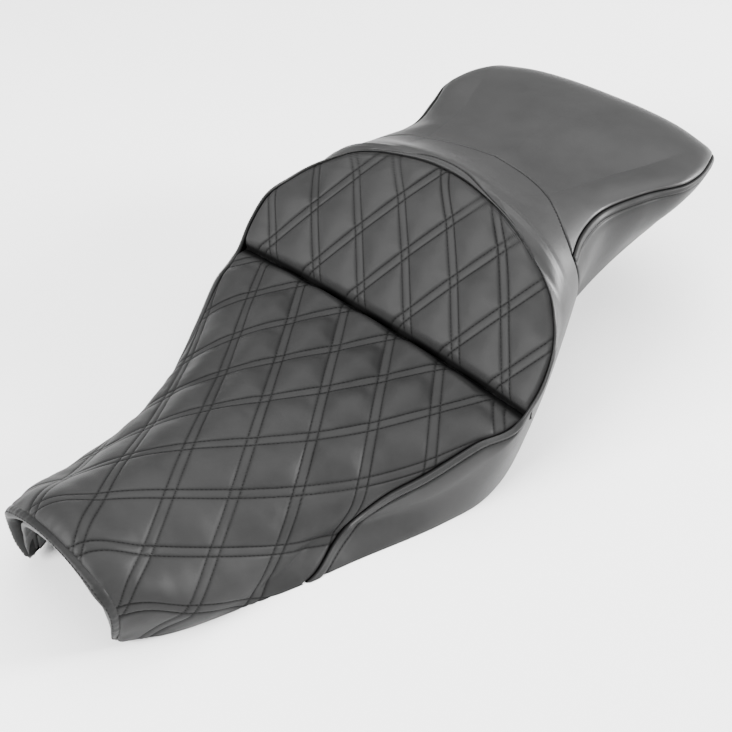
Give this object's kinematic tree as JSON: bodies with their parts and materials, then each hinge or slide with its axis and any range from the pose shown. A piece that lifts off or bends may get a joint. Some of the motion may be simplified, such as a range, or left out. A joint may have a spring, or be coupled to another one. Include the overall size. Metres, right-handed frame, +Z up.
{
  "type": "motorcycle seat",
  "caption": "Two-up stepped motorcycle seat with a diamond-quilted driver seat and lumbar face, plain hump bolster and plain passenger pad on a moulded pan.",
  "frame": {"origin": "middle of the bounding box in plan, at the height of the pan's rim on which the seat stands", "axes": "+X to the rider's left, -Y to the nose, +Y to the tail, +Z up"},
  "size_m": [0.3372, 0.6918, 0.1905],
  "materials": {
    "pan_plastic": "moulded black plastic, fine texture",
    "lining_felt": "needled black felt",
    "foam": "moulded polyurethane foam",
    "gel": "soft translucent gel sheet",
    "quilted_cover": "charcoal grained vinyl, diamond quilted, near-black double stitching",
    "plain_cover": "charcoal grained vinyl, satin",
    "cover_back": "knitted backing of the vinyl, turned in",
    "tape": "woven tape",
    "bright_steel": "zinc plated",
    "bracket_steel": "black powder coat",
    "bumper_rubber": "moulded black rubber"
  },
  "bodies": {
    "root": {"base_pan": "pan_plastic", "pan_lining": "lining_felt", "foam_core": "foam", "driver_gel_pad": "gel", "passenger_gel_pad": "gel", "driver_quilt_panel": "quilted_cover", "lumbar_quilt_panel": "quilted_cover", "bolster_panel": "plain_cover", "passenger_top_panel": "plain_cover", "passenger_side_left": "plain_cover", "passenger_side_right": "plain_cover", "nose_band": "plain_cover", "crease_listing": "tape", "cover_hem_left": "cover_back", "cover_hem_right": "cover_back", "hem_staples": "bright_steel", "front_tongue": "bracket_steel", "tongue_rivet_left": "bright_steel", "tongue_rivet_right": "bright_steel", "rear_bracket": "bracket_steel", "bracket_rivet_left": "bright_steel", "bracket_rivet_right": "bright_steel", "bumper_driver_left": "bumper_rubber", "bumper_driver_right": "bumper_rubber", "bumper_middle_left": "bumper_rubber", "bumper_middle_right": "bumper_rubber", "bumper_rear_left": "bumper_rubber", "bumper_rear_right": "bumper_rubber"}
  },
  "joints": []
}
